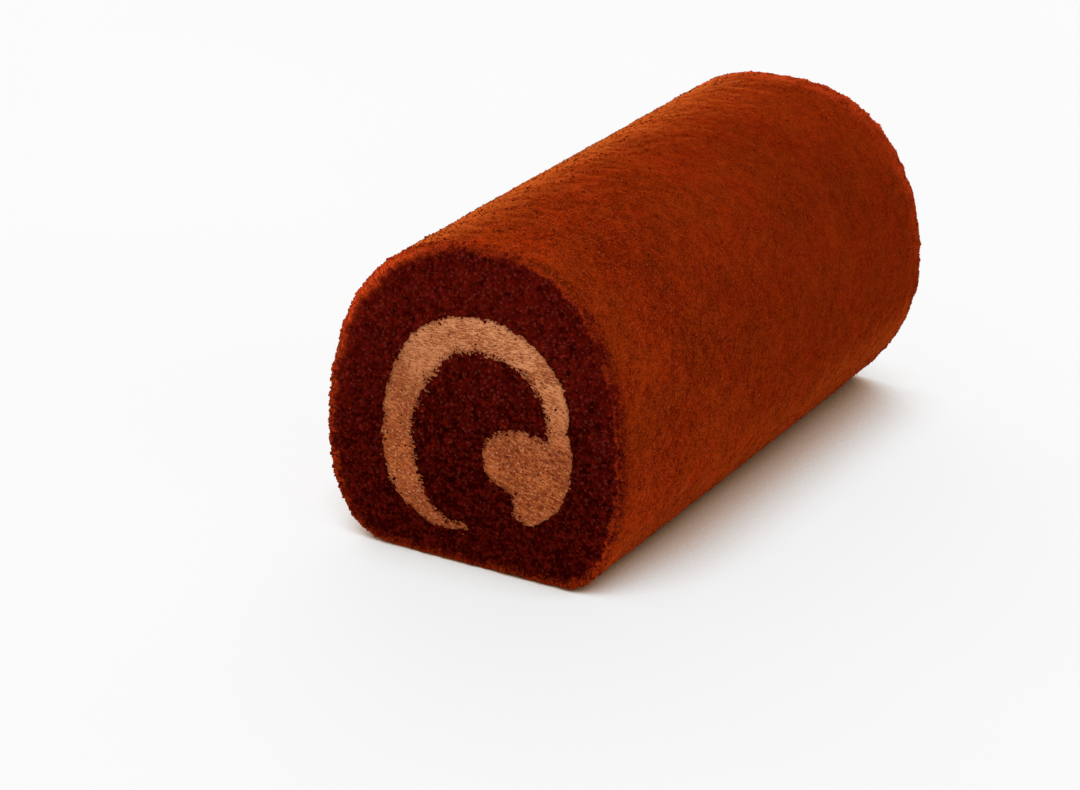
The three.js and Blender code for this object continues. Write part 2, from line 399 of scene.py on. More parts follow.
def piece(name, points, faces, material, values=None, stands_for=None):
    """A smooth mesh from points in mm, with a number at each point for each named value."""
    mesh = bpy.data.meshes.new(name)
    mesh.from_pydata((points * MM).tolist(), [], [f.tolist() for f in faces])
    mesh.polygons.foreach_set("use_smooth", [True] * len(mesh.polygons))
    for value, numbers in (values or {}).items():
        attribute = mesh.attributes.new(value, "FLOAT", "POINT")
        attribute.data.foreach_set("value", numbers.astype(np.float32))
    mesh.materials.append(material)
    obj = bpy.data.objects.new(name, mesh)
    bpy.context.scene.collection.objects.link(obj)
    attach(obj, "root")
    if stands_for:
        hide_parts(stands_for)
    return obj


def walls(rings):
    """Triangles between rings of point numbers, for rings in order of rising Y that run
    anticlockwise seen from -Y round something solid."""
    faces = []
    for a, c in zip(rings, rings[1:]):
        b, d = np.roll(a, -1), np.roll(c, -1)
        faces += [np.stack([a, c, d], 1), np.stack([a, d, b], 1)]
    return np.vstack(faces)


class Parts:
    """Points, their values and triangles of one piece, gathered a part at a time."""

    def __init__(self):
        self.points = []
        self.values = []
        self.faces = []
        self.count = 0

    def add(self, points, values):
        """Takes points with an array of values for each, and returns their numbers."""
        self.points.append(points)
        self.values.append(values)
        self.count += len(points)
        return np.arange(self.count - len(points), self.count)

    def make(self, name, names, material, node):
        """Makes the piece of those points that its faces use."""
        used, faces = np.unique(np.vstack(self.faces), return_inverse=True)
        points = np.vstack(self.points)[used]
        values = dict(zip(names, np.hstack(self.values)[:, used]))
        piece(name, points, faces.reshape(-1, 3), material, values, node)


# ---------------------------------------------------------------- forms read from the CAD


def cad_skin(turns, places):
    """Distance from the axis to the CAD's skin, a row for each place along Y."""
    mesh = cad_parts["sponge"].data
    tree = BVHTree.FromPolygons(
        [v.co / MM for v in mesh.vertices], [p.vertices for p in mesh.polygons]
    )
    beyond = 90
    rows = []
    for y in np.clip(places, PLAIN_END - END, END - PLAIN_END):
        row = []
        for turn in turns:
            way = Vector((math.cos(turn), 0, math.sin(turn)))
            start = Vector((0, y, AXIS_Z)) + way * beyond
            row.append(beyond - tree.ray_cast(start, -way)[3])
        rows.append(row)
    return np.array(rows)


def cad_cream_outline():
    """Outline of the CAD's cream at its near end, anticlockwise seen from -Y."""
    flat = 0.01
    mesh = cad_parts["cream"].data
    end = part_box("cream")[0].y
    edges = set()
    for face in mesh.polygons:
        corners = [mesh.vertices[v].co for v in face.vertices]
        if max(c.y for c in corners) - end < flat * MM:
            keys = [(round(c.x / MM, 3), round(c.z / MM, 3)) for c in corners]
            edges.update(zip(keys, keys[1:] + keys[:1]))
    onward = {a: b for a, b in edges if (b, a) not in edges}
    loop = [min(onward)]
    while onward[loop[-1]] != loop[0]:
        loop.append(onward[loop[-1]])
    return np.array(loop)


# ---------------------------------------------------------------- relief


def crumb_relief(points):
    """Height of open crumb above a plain cut, and how hollow or proud it is, -1 to 1, for painted
    shade.
    """
    height = waves(points, *CRUMB_SWELL)
    tone = waves(points, *CRUMB_PATCH)
    for size, grain_height in CRUMB_GRAINS:
        first, second = cells(points, size)
        grain = 2 * np.minimum(second - first, GRAIN_ROUND) - GRAIN_ROUND
        height += grain_height * grain
        tone += GRAIN_TONE * grain
    pore = step(cells(points, PORE_SPACING)[0], *PORE_SPAN)
    return height - PORE_DEPTH * pore, np.clip(tone - PORE_TONE * pore, -1, 1)


def skin_relief(points):
    """Height of the soft skin above its plain form, and how hollow or proud it is, for painted
    shade.
    """
    bumps = sum(waves(points, *bump) for bump in SKIN_BUMPS)
    dimple = step(cells(points, DIMPLE_SPACING)[0], *DIMPLE_SPAN) * step(points[:, 1], *DIMPLED)
    dimple *= step(waves(points, DIMPLE_PATCH), -0.5, 0.5)
    height = BUMP_HEIGHT * bumps - DIMPLE_DEPTH * dimple
    return height, np.clip(BUMP_TONE * bumps - DIMPLE_TONE * dimple, -1, 1)


def knife_streaks(points, long, wide, height):
    """Noise drawn out along the stroke of the knife."""
    c, s = STROKE
    x, y, z = points.T
    drawn = np.stack([(x * c + z * s) / long, y, (z * c - x * s) / wide], 1)
    return waves(drawn, 1, height)


def on_blob(points):
    """1 on the thick end of the cream, and 0 away from it."""
    return step(np.hypot(points[:, 0] - BLOB[0], points[:, 2] - BLOB[1]), *BLOB_SPAN)


def cream_relief(points):
    """Height of the cut cream above its plain face."""
    fine = knife_streaks(points, *FINE_STREAKS) + waves(points, *FINE_LUMPS)
    wrinkles = knife_streaks(points, *WRINKLE_STREAKS) + waves(points, *WRINKLE_LUMPS)
    dent = step(cells(points, DENT_SPACING)[0], *DENT_SPAN)
    swell = waves(points, *CREAM_SWELL)
    return fine + on_blob(points) * wrinkles + swell - DENT_DEPTH * dent


# ---------------------------------------------------------------- skin and rims


def rubbed_and_lit(out):
    """How far the skin rubs over the rim, and how strong the rim's painted highlight is, from 0 to
    1, where the rim faces that way.
    """
    return np.clip(out @ RUBBED_AND_LIT_WAY, 0, 1) ** RUBBED_FALL


def lifted(points):
    """1 well above the table, and less for the rims that lie on it, where their wear and painted
    highlight fade.
    """
    return FOOT_WEAR_AND_HIGHLIGHT + (1 - FOOT_WEAR_AND_HIGHLIGHT) * step(points[:, -1], *FOOT_SPAN)


def skin_rows():
    """The skin as rows of points from cut to cut, with their outward directions and values."""
    round_turns = np.linspace(0, 2 * math.pi, OUTLINE_STEPS, endpoint=False)
    middle = cad_skin(round_turns, [0])[0]
    outline = np.stack([middle * np.cos(round_turns), middle * np.sin(round_turns)], 1)
    x, z = evenly(outline, COLUMNS).T
    turns = np.arctan2(z, x)

    inner = END - RIM_REACH
    places = np.linspace(-inner, inner, round(2 * inner / ROW_STEP))
    radius = blurred(cad_skin(turns, places).T, COLUMN_BLUR).T
    radius = blurred(np.vstack([radius, radius[::-1]]), ROW_BLUR)[: len(places)]

    level = np.zeros(COLUMNS)
    rows = [skin_row(row, turns, 0, level + y, level) for y, row in zip(places, radius)]
    for side, row in ((-1, radius[0]), (1, radius[-1])):
        edge = np.stack([row * np.cos(turns), level + side * END, row * np.sin(turns)], 1)
        size = RIM + waves(edge, *RIM_LUMPS) + RUBBED_ROUND * rubbed_and_lit(outward(edge[:, [0, 2]]))
        rim = []
        for share in RIM_TURNS:
            lean = share * math.pi / 2
            y = side * (END - size * (1 - math.sin(lean)))
            rim.append(skin_row(row, turns, side * lean, y, size * (1 - math.cos(lean))))
        rows = rim[::-1] + rows if side < 0 else rows + rim
    return rows


def skin_row(radius, turns, lean, y, inset):
    """One ring of the skin, which leans over to face along Y at a rim."""
    ring = np.stack([radius * np.cos(turns), AXIS_Z + radius * np.sin(turns)], 1)
    out = outward(ring)
    ring = ring - inset[:, None] * out
    plain = np.stack([ring[:, 0], y, ring[:, 1]], 1)
    face = math.cos(lean) * out
    normals = np.stack([face[:, 0], np.full(COLUMNS, math.sin(lean)), face[:, 1]], 1)
    cut = abs(lean) / (math.pi / 2)
    calm = NEAR_CALM if lean < 0 else FAR_CALM
    skin_height, skin_tone = skin_relief(plain)
    crumb_height, crumb_tone = crumb_relief(plain)
    height = (1 - cut) * skin_height + cut * crumb_height * calm
    points = plain + height[:, None] * normals
    points[:, 2] = np.maximum(points[:, 2], 0)
    bare = np.clip(out @ BARE_WAY, 0, 1) ** BARE_FALL * np.exp(-(END + y) / BARE_REACH)
    # wear and painted highlight: on the near rim where it faces the light, and on the far rim's top
    near = rubbed_and_lit(out) * np.exp(-(END + y) / NEAR_REACH)
    far = (FAR_WEAR_AND_HIGHLIGHT[0] + FAR_WEAR_AND_HIGHLIGHT[1] * out[:, 1]) * np.exp((y - END) / FAR_REACH)
    return {
        "points": points,
        "normals": normals,
        "cut": np.maximum(cut / 2, BARE_CUT * bare),
        "relief": (1 - cut) * skin_tone + cut * crumb_tone,
        "wear_and_highlight": np.maximum(np.maximum(near, far), RIM_WORN * cut) * lifted(points),
    }


# ---------------------------------------------------------------- cut ends


def core_side(loop):
    """How far each point of the cream's edge faces the roll's core, from 0 to 1."""
    inward = np.array([0, AXIS_Z]) - loop
    inward /= np.linalg.norm(inward, axis=1, keepdims=True)
    facing = np.clip((outward(loop) * inward).sum(1), 0, 1)
    return blurred(facing[:, None], CORE_BLUR / CREAM_EDGE_STEP)[:, 0]


def cream_edge(loop, side):
    """The cream's ragged edge at one cut: soft steps and notches all round, and points where
    the knife has dragged it over the sponge."""
    out = outward(loop)
    places = np.stack([loop[:, 0], np.full(len(loop), side * END), loop[:, 1]], 1)
    core = core_side(loop)
    notches = (NOTCH_DEPTH[0] + NOTCH_DEPTH[1] * core) * waves(places, NOTCH)
    ragged = CREAM_MARGIN + waves(places, *EDGE_STEPS) + notches
    dragged = DRAG_REACH * np.clip(waves(places, DRAG), DRAG_LEAST, 1) - DRAG_LEAST
    leaving = np.clip(out @ STROKE, 0, 1) * (DRAG_OUTER + (1 - DRAG_OUTER) * core)
    return loop + ragged[:, None] * out + (leaving * dragged)[:, None] * STROKE


def make_end(side, rim, loop, rng):
    """One cut end as triangles, with how far each point is from the rim and the cream's edge."""
    outline = rim[:, [0, 2]]
    edge = cream_edge(loop, side)
    sponge = scattered(outline, CRUMB_SPACING, rng)
    sponge = sponge[inside(sponge, outline) & ~inside(sponge, edge)]
    sponge = sponge[nearest(np.vstack([outline, edge]), sponge)[1] > CLEAR * CRUMB_SPACING]
    cream = scattered(edge, CREAM_SPACING, rng)
    cream = cream[inside(cream, edge)]
    cream = cream[nearest(edge, cream)[1] > CLEAR * CREAM_SPACING]

    given = np.vstack([outline, edge, sponge, cream])
    first, last = len(outline), len(outline) + len(edge)
    loops = [list(range(first)), list(range(first, last))]
    within = 1  # only triangles within the outline are wanted
    found = delaunay_2d_cdt([Vector(p) for p in given.tolist()], [], loops, within, JOIN, True)
    flat, _, faces, sources, _, owners = found
    numbers = {source: new for new, given_as in enumerate(sources) for source in given_as}
    flat = np.array([p[:] for p in flat])
    faces = np.array(faces) if side < 0 else np.array(faces)[:, ::-1]
    in_cream = np.array([1 in owner for owner in owners])
    edge_number, to_edge = nearest(edge, flat)
    rim_number, to_rim = nearest(outline, flat)
    leaving = np.clip(outward(edge) @ STROKE, 0, 1)
    over = rubbed_and_lit(outward(outline))
    blend = RIM_BLEND + RUBBED_BLEND * over
    points = np.stack([flat[:, 0], np.full(len(flat), side * END), flat[:, 1]], 1)
    height, tone = crumb_relief(points)
    return {
        "side": side,
        "points": points,
        "height": height,
        "tone": tone,
        "rim": np.array([numbers[i] for i in range(first)]),
        "edge": np.array([numbers[i] for i in range(first, last)]),
        "sponge": faces[~in_cream],
        "cream": faces[in_cream],
        "cut": 0.5 + 0.5 * step(to_rim, 0, blend[rim_number]),
        # the rim's wear, with painted highlight where it faces the light
        "wear_and_highlight": np.maximum(over, RIM_WORN)[rim_number] * lifted(flat),
        "to_edge": to_edge,
        "leaving": leaving[edge_number],
        "core": core_side(edge)[edge_number],
        "in_sponge": np.isin(np.arange(len(flat)), faces[~in_cream]),
    }


def raised(end, height):
    """The points of a cut end, moved outward along Y."""
    points = end["points"].copy()
    points[:, 1] += end["side"] * height
    return points


def by_edge(end, reach):
    """1 for the points at the cream's edge, fading over that distance from it."""
    return np.exp(-end["to_edge"] / reach)


# ---------------------------------------------------------------- sponge and cream


def build_sponge(rows, ends, channel, material):
    """The skin, the sponge of both cuts, and the channel that the cream runs in."""
    parts = Parts()
    names = ("cut", "relief", "wear_and_highlight")
    rings = [parts.add(row["points"], np.stack([row[name] for name in names])) for row in rows]
    parts.faces.append(walls(rings))
    inner = []
    for end, rim in zip(ends, (rings[0], rings[-1])):
        values = np.stack([end["cut"], end["tone"], end["wear_and_highlight"]])
        numbers = parts.add(raised(end, end["height"]), values)
        numbers[end["rim"]] = rim
        parts.faces.append(numbers[end["sponge"]])
        inner.append(numbers[end["edge"]])
    for number, side in enumerate((-1, 1)):
        ring = np.insert(channel, 1, side * (END - WALL_DEPTH), axis=1)
        values = np.array([[1], [0], [0]]) * np.ones(len(ring))
        inner.insert(1 + number, parts.add(ring, values))
    parts.faces.append(walls(inner)[:, ::-1])
    parts.make("roll_sponge", names, material, "sponge")


def build_cream(ends, loop, material):
    """The cream's two cut faces, and its wall from one to the other."""
    parts = Parts()
    rings = []
    for end in ends:
        rise = cream_relief(end["points"])
        tone = np.clip(rise / TONE_HEIGHT, -TONE_MOST, TONE_MOST)
        rise += LIP * end["leaving"] * by_edge(end, LIP_REACH) - CREAM_BEHIND
        values = np.stack([by_edge(end, STAIN_REACH), tone])
        numbers = parts.add(raised(end, rise), values)
        parts.faces.append(numbers[end["cream"]])
        rings.append(numbers[end["edge"]])
    for number, side in enumerate((-1, 1)):
        ring = np.insert(loop, 1, side * (END - WALL_DEPTH), axis=1)
        rings.insert(1 + number, parts.add(ring, np.zeros((2, len(ring)))))
    parts.faces.append(walls(rings))
    parts.make("roll_cream", ("edge", "relief"), material, "cream")


# ---------------------------------------------------------------- loose bits


def lump(kind):
    """Corners and outward triangles of a regular lump with 6 or 12 corners."""
    if kind == 6:
        corners = np.vstack([np.eye(3), -np.eye(3)])
    else:
        golden = (1 + 5**0.5) / 2
        rectangle = [(s, t * golden, 0) for s in (-1, 1) for t in (-1, 1)]
        corners = np.array([c[i:] + c[:i] for i in range(3) for c in rectangle])
        corners /= np.linalg.norm(corners[0])
    away = np.linalg.norm(corners[:, None] - corners, axis=2)
    joined = np.isclose(away, np.sort(away[0])[1])
    faces = []
    for a, b, c in itertools.combinations(range(kind), 3):
        if joined[a, b] and joined[b, c] and joined[a, c]:
            way = np.cross(corners[b] - corners[a], corners[c] - corners[a])
            faces.append((a, b, c) if way @ corners[a] > 0 else (a, c, b))
    return corners, np.array(faces)


def bits(name, kind, places, normals, sizes, sunk, values, material, rng, drawn=None):
    """Small irregular lumps part sunk in a surface, all in one mesh, drawn out along one way."""
    corners, faces = lump(kind)
    count = len(places)
    spin = np.linalg.qr(rng.normal(size=(count, 3, 3)))[0]
    spin *= np.sign(np.linalg.det(spin))[:, None, None]
    squash = rng.uniform(*BIT_SQUASH, (count, 1, 3))
    lumps = corners * rng.uniform(*BIT_UNEVEN, (count, kind, 1)) * squash
    lumps = np.einsum("nij,nkj->nki", spin, lumps) * sizes[:, None, None] / 2
    if drawn is not None:
        lumps += BIT_DRAWN * (lumps @ drawn)[..., None] * drawn
    lumps += (places - normals * (sunk * sizes)[:, None])[:, None]
    points = lumps.reshape(-1, 3)
    points[:, 2] = np.maximum(points[:, 2], 0)
    faces = (faces + kind * np.arange(count)[:, None, None]).reshape(-1, 3)
    values = {key: np.repeat(numbers, kind) for key, numbers in values.items()}
    piece(name, points, faces, material, values)


def on_grid(rows, count, first, last, rng):
    """Random places on the skin between two rows, with their normals, cut, and wear and highlight
    values.
    """
    u = rng.uniform(first, last, count)
    v = rng.uniform(0, COLUMNS, count)
    i, j = u.astype(int), v.astype(int)
    found = []
    for key in ("points", "normals", "cut", "wear_and_highlight"):
        grid = np.stack([row[key] for row in rows])
        s, t = u - i, v - j
        if grid.ndim == 3:
            s, t = s[:, None], t[:, None]
        ahead = (j + 1) % COLUMNS
        near = (1 - t) * grid[i, j] + t * grid[i, ahead]
        far = (1 - t) * grid[i + 1, j] + t * grid[i + 1, ahead]
        found.append((1 - s) * near + s * far)
    return found


def on_cut(end, count, weights, height, rng):
    """Random points of a cut end, with those weights, and their normals."""
    chosen = rng.choice(len(weights), count, replace=False, p=weights / weights.sum())
    points = raised(end, height)[chosen]
    return chosen, points, np.tile((0.0, end["side"], 0.0), (count, 1))


def build_nap(rows, material, rng):
    """Fine fuzz of crumb all over the skin."""
    found = on_grid(rows, NAP_COUNT, 0, len(rows) - 1.001, rng)
    shown = found[0][:, 2] > NAP_FOOT
    points, normals, cut, wear_and_highlight = (part[shown] for part in found)
    sizes = NAP_SIZE * rng.lognormal(0, NAP_VARY, len(points))
    values = {"cut": cut, "wear_and_highlight": wear_and_highlight, "relief": rng.uniform(*NAP_TONES, len(points))}
    bits("skin_nap", 6, points, normals, sizes, NAP_SUNK, values, material, rng)


def rim_crumbs(rows, rng):
    """Places for the crumbs on the two rims, some of them dark and some like the skin."""
    found = []
    rims = len(RIM_TURNS) + 1
    for first, size in ((0, RIM_CRUMB), (len(rows) - 1 - rims, FAR_RIM_CRUMB)):
        points, normals, cut, wear_and_highlight = on_grid(rows, RIM_CRUMBS, first, first + rims, rng)
        least = rng.uniform(*RIM_CUTS, RIM_CRUMBS)
        cut = np.maximum(least, cut * rng.uniform(*RIM_CUT_VARY, RIM_CRUMBS))
        cut *= 1 - np.clip(wear_and_highlight - RIM_WORN, 0, 1)
        found.append((points, normals, cut, wear_and_highlight, size))
    return found


def cut_crumbs(ends, rng):
    """Places for the crumbs that stand out of the two cuts, and for the few that the knife has
    dragged on to the cream, most of them along its edge."""
    found = []
    for end in ends:
        weights = 1 + by_edge(end, CUT_REACH)
        weights[~end["in_sponge"]] = 0
        chosen, points, normals = on_cut(end, CUT_CRUMBS, weights, end["height"], rng)
        found.append((points, normals, end["cut"][chosen], end["wear_and_highlight"][chosen], CUT_CRUMB))
        weights = DRAGGED_PLAIN + (DRAGGED_OUTER + end["core"]) * by_edge(end, DRAGGED_REACH)
        weights[end["in_sponge"]] = 0
        _, points, normals = on_cut(end, DRAGGED_CRUMBS, weights, -CREAM_BEHIND, rng)
        cut = np.ones(DRAGGED_CRUMBS)
        found.append((points, normals, cut, 0 * cut, DRAGGED_CRUMB))
    return found


def build_crumbs(rows, ends, material, rng):
    """Crumbs that stand out of the two cuts and their rims, and a few dragged on to the cream."""
    found = rim_crumbs(rows, rng) + cut_crumbs(ends, rng)
    sizes = np.concatenate([np.full(len(part[0]), part[4]) for part in found])
    points, normals, cut, wear_and_highlight = (np.concatenate([part[i] for part in found]) for i in range(4))
    sizes *= rng.lognormal(0, CRUMB_VARY, len(points))
    values = {"cut": cut, "wear_and_highlight": wear_and_highlight, "relief": rng.uniform(*CRUMB_TONES, len(points))}
    shown = points[:, 2] > CRUMB_FOOT
    values = {key: numbers[shown] for key, numbers in values.items()}
    points, normals, sizes = points[shown], normals[shown], sizes[shown]
    bits("cut_crumbs", 12, points, normals, sizes, CRUMB_SUNK, values, material, rng)


def build_flecks(ends, material, rng):
    """Flecks of cream that the knife has left on the sponge."""
    found = []
    for end in ends:
        weights = (FLECK_OUTER + end["core"]) * by_edge(end, FLECK_REACH)
        weights[~end["in_sponge"]] = 0
        height = np.maximum(end["height"], FLECK_LOWEST)
        found.append(on_cut(end, FLECKS, weights, height, rng)[1:])
    points, normals = (np.concatenate(part) for part in zip(*found))
    count = len(points)
    sizes = FLECK * rng.lognormal(0, CRUMB_VARY, count)
    edges = rng.uniform(*FLECK_EDGES, count)
    values = {"edge": edges, "relief": rng.uniform(*FLECK_TONES, count)}
    drawn = np.array([STROKE[0], 0, STROKE[1]])
    bits("cream_flecks", 12, points, normals, sizes, CRUMB_SUNK, values, material, rng, drawn)


# ---------------------------------------------------------------- shader nodes


def add(tree, kind, sockets=None, **settings):
    """A shader node, with its sockets set to values or linked from other nodes' outputs."""
    made = tree.nodes.new("ShaderNode" + kind)
    for name, value in settings.items():
        setattr(made, name, value)
    for name, value in (sockets or {}).items():
        if isinstance(value, bpy.types.NodeSocket):
            tree.links.new(value, made.inputs[name])
        else:
            made.inputs[name].default_value = value
    return made


def number(tree, operation, *values, clamp=False):
    """An operation on two or three numbers, with its result kept from 0 to 1 if clamped."""
    sockets = dict(enumerate(values))
    return add(tree, "Math", sockets, operation=operation, use_clamp=clamp).outputs[0]


def total(tree, *values, clamp=False):
    """Numbers added up."""
    *others, last = values
    found = reduce(lambda a, b: number(tree, "ADD", a, b), others)
    return number(tree, "ADD", found, last, clamp=clamp)


def product(tree, *values, clamp=False):
    """Numbers multiplied."""
    *others, last = values
    found = reduce(lambda a, b: number(tree, "MULTIPLY", a, b), others)
    return number(tree, "MULTIPLY", found, last, clamp=clamp)


def mixed(tree, share, a, b, blend="MIX"):
    """Two colours mixed."""
    made = add(tree, "Mix", {0: share, 6: a, 7: b}, data_type="RGBA", blend_type=blend)
    return made.outputs[2]


def ranged(tree, value, low, high, to_low=0.0, to_high=1.0):
    """A number that goes smoothly from one value to another as the given one goes over a span."""
    sockets = {0: value, 1: low, 2: high, 3: to_low, 4: to_high}
    return add(tree, "MapRange", sockets, interpolation_type="SMOOTHSTEP").outputs[0]


def placed(tree, place, low, high, to_low=0.0, to_high=1.0):
    """The same over a span of places on the roll, in mm."""
    return ranged(tree, place, low * MM, high * MM, to_low, to_high)


def value_of(tree, name):
    """The value of that name that a piece's mesh has."""
    return add(tree, "Attribute", attribute_name=name).outputs["Fac"]


def texture(tree, place, size, detail=2.0, rough=0.5, twist=0.0):
    """A noise texture with lumps of that size in mm."""
    sockets = {"Vector": place, "Scale": 1 / (size * MM), "Detail": detail}
    sockets |= {"Roughness": rough, "Distortion": twist}
    return add(tree, "TexNoise", sockets).outputs[0]


def dots(tree, place, spacing, low, high, most):
    """Small spots at random places, by how near they are in spacings."""
    found = add(tree, "TexVoronoi", {"Vector": place, "Scale": 1 / (spacing * MM)})
    return ranged(tree, found.outputs["Distance"], low, high, 0.0, most)


def surface(name, **settings):
    """A new material with a Principled shader, and its node tree and shader."""
    material = bpy.data.materials.new(name)
    material.use_nodes = True
    tree = material.node_tree
    shader = tree.nodes["Principled BSDF"]
    for socket, value in settings.items():
        shader.inputs[socket.replace("_", " ")].default_value = value
    return material, tree, shader


def finished(tree, shader, **links):
    """Links outputs to a shader's sockets."""
    for socket, output in links.items():
        tree.links.new(output, shader.inputs[socket.replace("_", " ")])


# ---------------------------------------------------------------- looks of the roll


def sponge_inputs(tree):
    """The values, places and textures that the sponge's colours are made from."""
    place = add(tree, "TexCoord").outputs["Object"]
    across, along, up = add(tree, "SeparateXYZ", {0: place}).outputs
    stretched = add(tree, "Mapping", {"Vector": place, "Scale": GRAIN_STRETCH}).outputs[0]
    clumps = ranged(tree, texture(tree, place, CLUMP, twist=1.0), *CLUMPS)
    return SimpleNamespace(
        cut=value_of(tree, "cut"),
        relief=value_of(tree, "relief"),
        wear_and_highlight=value_of(tree, "wear_and_highlight"),
        place=place,
        across=across,
        along=along,
        up=up,
        grain=texture(tree, stretched, GRAIN, rough=0.6),
        clumps=product(tree, clumps, placed(tree, up, *CLUMPS_UP)),
        blotch=texture(tree, place, BLOTCH, 3.0, rough=0.6),
    )


def skin_colour(tree, given):
    """The skin: velvety grain and clumps, patches of tone and tint, and pale specks painted as
    glints.
    """
    grains = ranged(tree, given.grain, *SKIN_GRAINS)
    # painted shade in hollows and painted light on proud parts, from the relief
    uneven = number(tree, "MULTIPLY_ADD", given.relief, SKIN_RELIEF, grains)
    uneven = total(tree, uneven, given.clumps, ranged(tree, given.blotch, *SKIN_BLOTCHES))
    calm = placed(tree, given.along, *SKIN_CALM)
    patches = ranged(tree, texture(tree, given.place, PATCH, 1.0), *SKIN_PATCHES)
    tone = number(tree, "MULTIPLY_ADD", uneven, calm, patches)
    tone = total(tree, tone, placed(tree, given.along, *SKIN_LIGHTER))
    skin = mixed(tree, tone, SKIN_DARK, SKIN_LIGHT)
    tint = ranged(tree, texture(tree, given.place, TINT), *SKIN_TINTS)
    skin = mixed(tree, tint, skin, SKIN_BROWN, "MULTIPLY")
    # painted glints
    painted_glint = dots(tree, given.place, *SKIN_GLINT_DOTS)
    painted_glint = product(tree, painted_glint, placed(tree, given.along, *SKIN_GLINTS_ALONG))
    return mixed(tree, painted_glint, skin, SKIN_PAINTED_GLINT)


def cut_colour(tree, given):
    """The cut crumb: painted shade in its hollows and low down, lighter at the sides, with painted
    glints.
    """
    tone = total(
        tree,
        number(tree, "MULTIPLY_ADD", given.relief, CUT_RELIEF, CUT_TONE),
        # painted shade: darker low down
        placed(tree, given.up, *CUT_SHADE_UP),
        placed(tree, given.across, *CUT_TONE_LEFT),
        placed(tree, given.across, *CUT_TONE_RIGHT),
        product(tree, given.clumps, CUT_CLUMPS),
        ranged(tree, texture(tree, given.place, CRUMB_TEXTURE, 1.0), *CUT_GRAINS),
        clamp=True,
    )
    # painted glints
    painted_glint = dots(tree, given.place, *CUT_GLINT_DOTS)
    painted_glint = product(tree, painted_glint, placed(tree, given.up, *CUT_GLINTS_UP))
    return mixed(tree, painted_glint, mixed(tree, tone, CUT_DARK, CUT_LIGHT), CUT_PAINTED_GLINT)


def wear_and_highlight_colour(tree, given, skin):
    """The skin's wear and painted highlight: redder on the rims, and palest where the skin rubs
    over them on the lit side.
    """
    grains = ranged(tree, given.grain, *WORN_GRAINS)
    blotches = ranged(tree, given.blotch, *WORN_BLOTCHES)
    red = ranged(tree, given.wear_and_highlight, *WORN_RED)
    red = product(tree, red, blotches, grains, clamp=True)
    # painted highlight on the rims that face the light
    light = ranged(tree, given.wear_and_highlight, *PAINTED_HIGHLIGHT_SPAN)
    light = product(tree, light, grains, ranged(tree, given.cut, *HIGHLIGHT_OUTER))
    return mixed(tree, light, mixed(tree, red, skin, RIM_RED), RIM_PAINTED_HIGHLIGHT)


def cut_share(tree, given):
    """How much of the cut's colour shows, from 0 to 1, with a ragged edge."""
    ragged = total(tree, given.clumps, ranged(tree, given.blotch, *RAGGED_BLOTCHES))
    ragged = product(tree, ragged, ranged(tree, given.wear_and_highlight, *WORN_RAGGED))
    return ranged(tree, total(tree, ragged, given.cut), *CUT_SHARE)


def sponge_look():
    """Matt chocolate sponge: its skin, its cut crumb, and the rims between them, with their wear
    and painted highlight.
    """
    material, tree, shader = surface(
        "sponge", Sheen_Roughness=0.3, Sheen_Tint=SHEEN, Specular_IOR_Level=0.0
    )
    given = sponge_inputs(tree)
    share = cut_share(tree, given)
    skin = wear_and_highlight_colour(tree, given, skin_colour(tree, given))
    facing = add(tree, "LayerWeight", {"Blend": 0.5}).outputs["Facing"]
    sheen = product(
        tree,
        ranged(tree, facing, *SHEEN_FACING),
        ranged(tree, share, *SHEEN_CUT),
        placed(tree, given.up, *SHEEN_UP),
    )
    bump = {"Height": given.grain, "Strength": 0.8, "Distance": GRAIN_BUMP * MM}
    finished(
        tree,
        shader,
        Base_Color=mixed(tree, share, skin, cut_colour(tree, given)),
        Roughness=ranged(tree, given.grain, *SPONGE_ROUGH),
        Sheen_Weight=sheen,
        Normal=add(tree, "Bump", bump).outputs[0],
    )
    return material


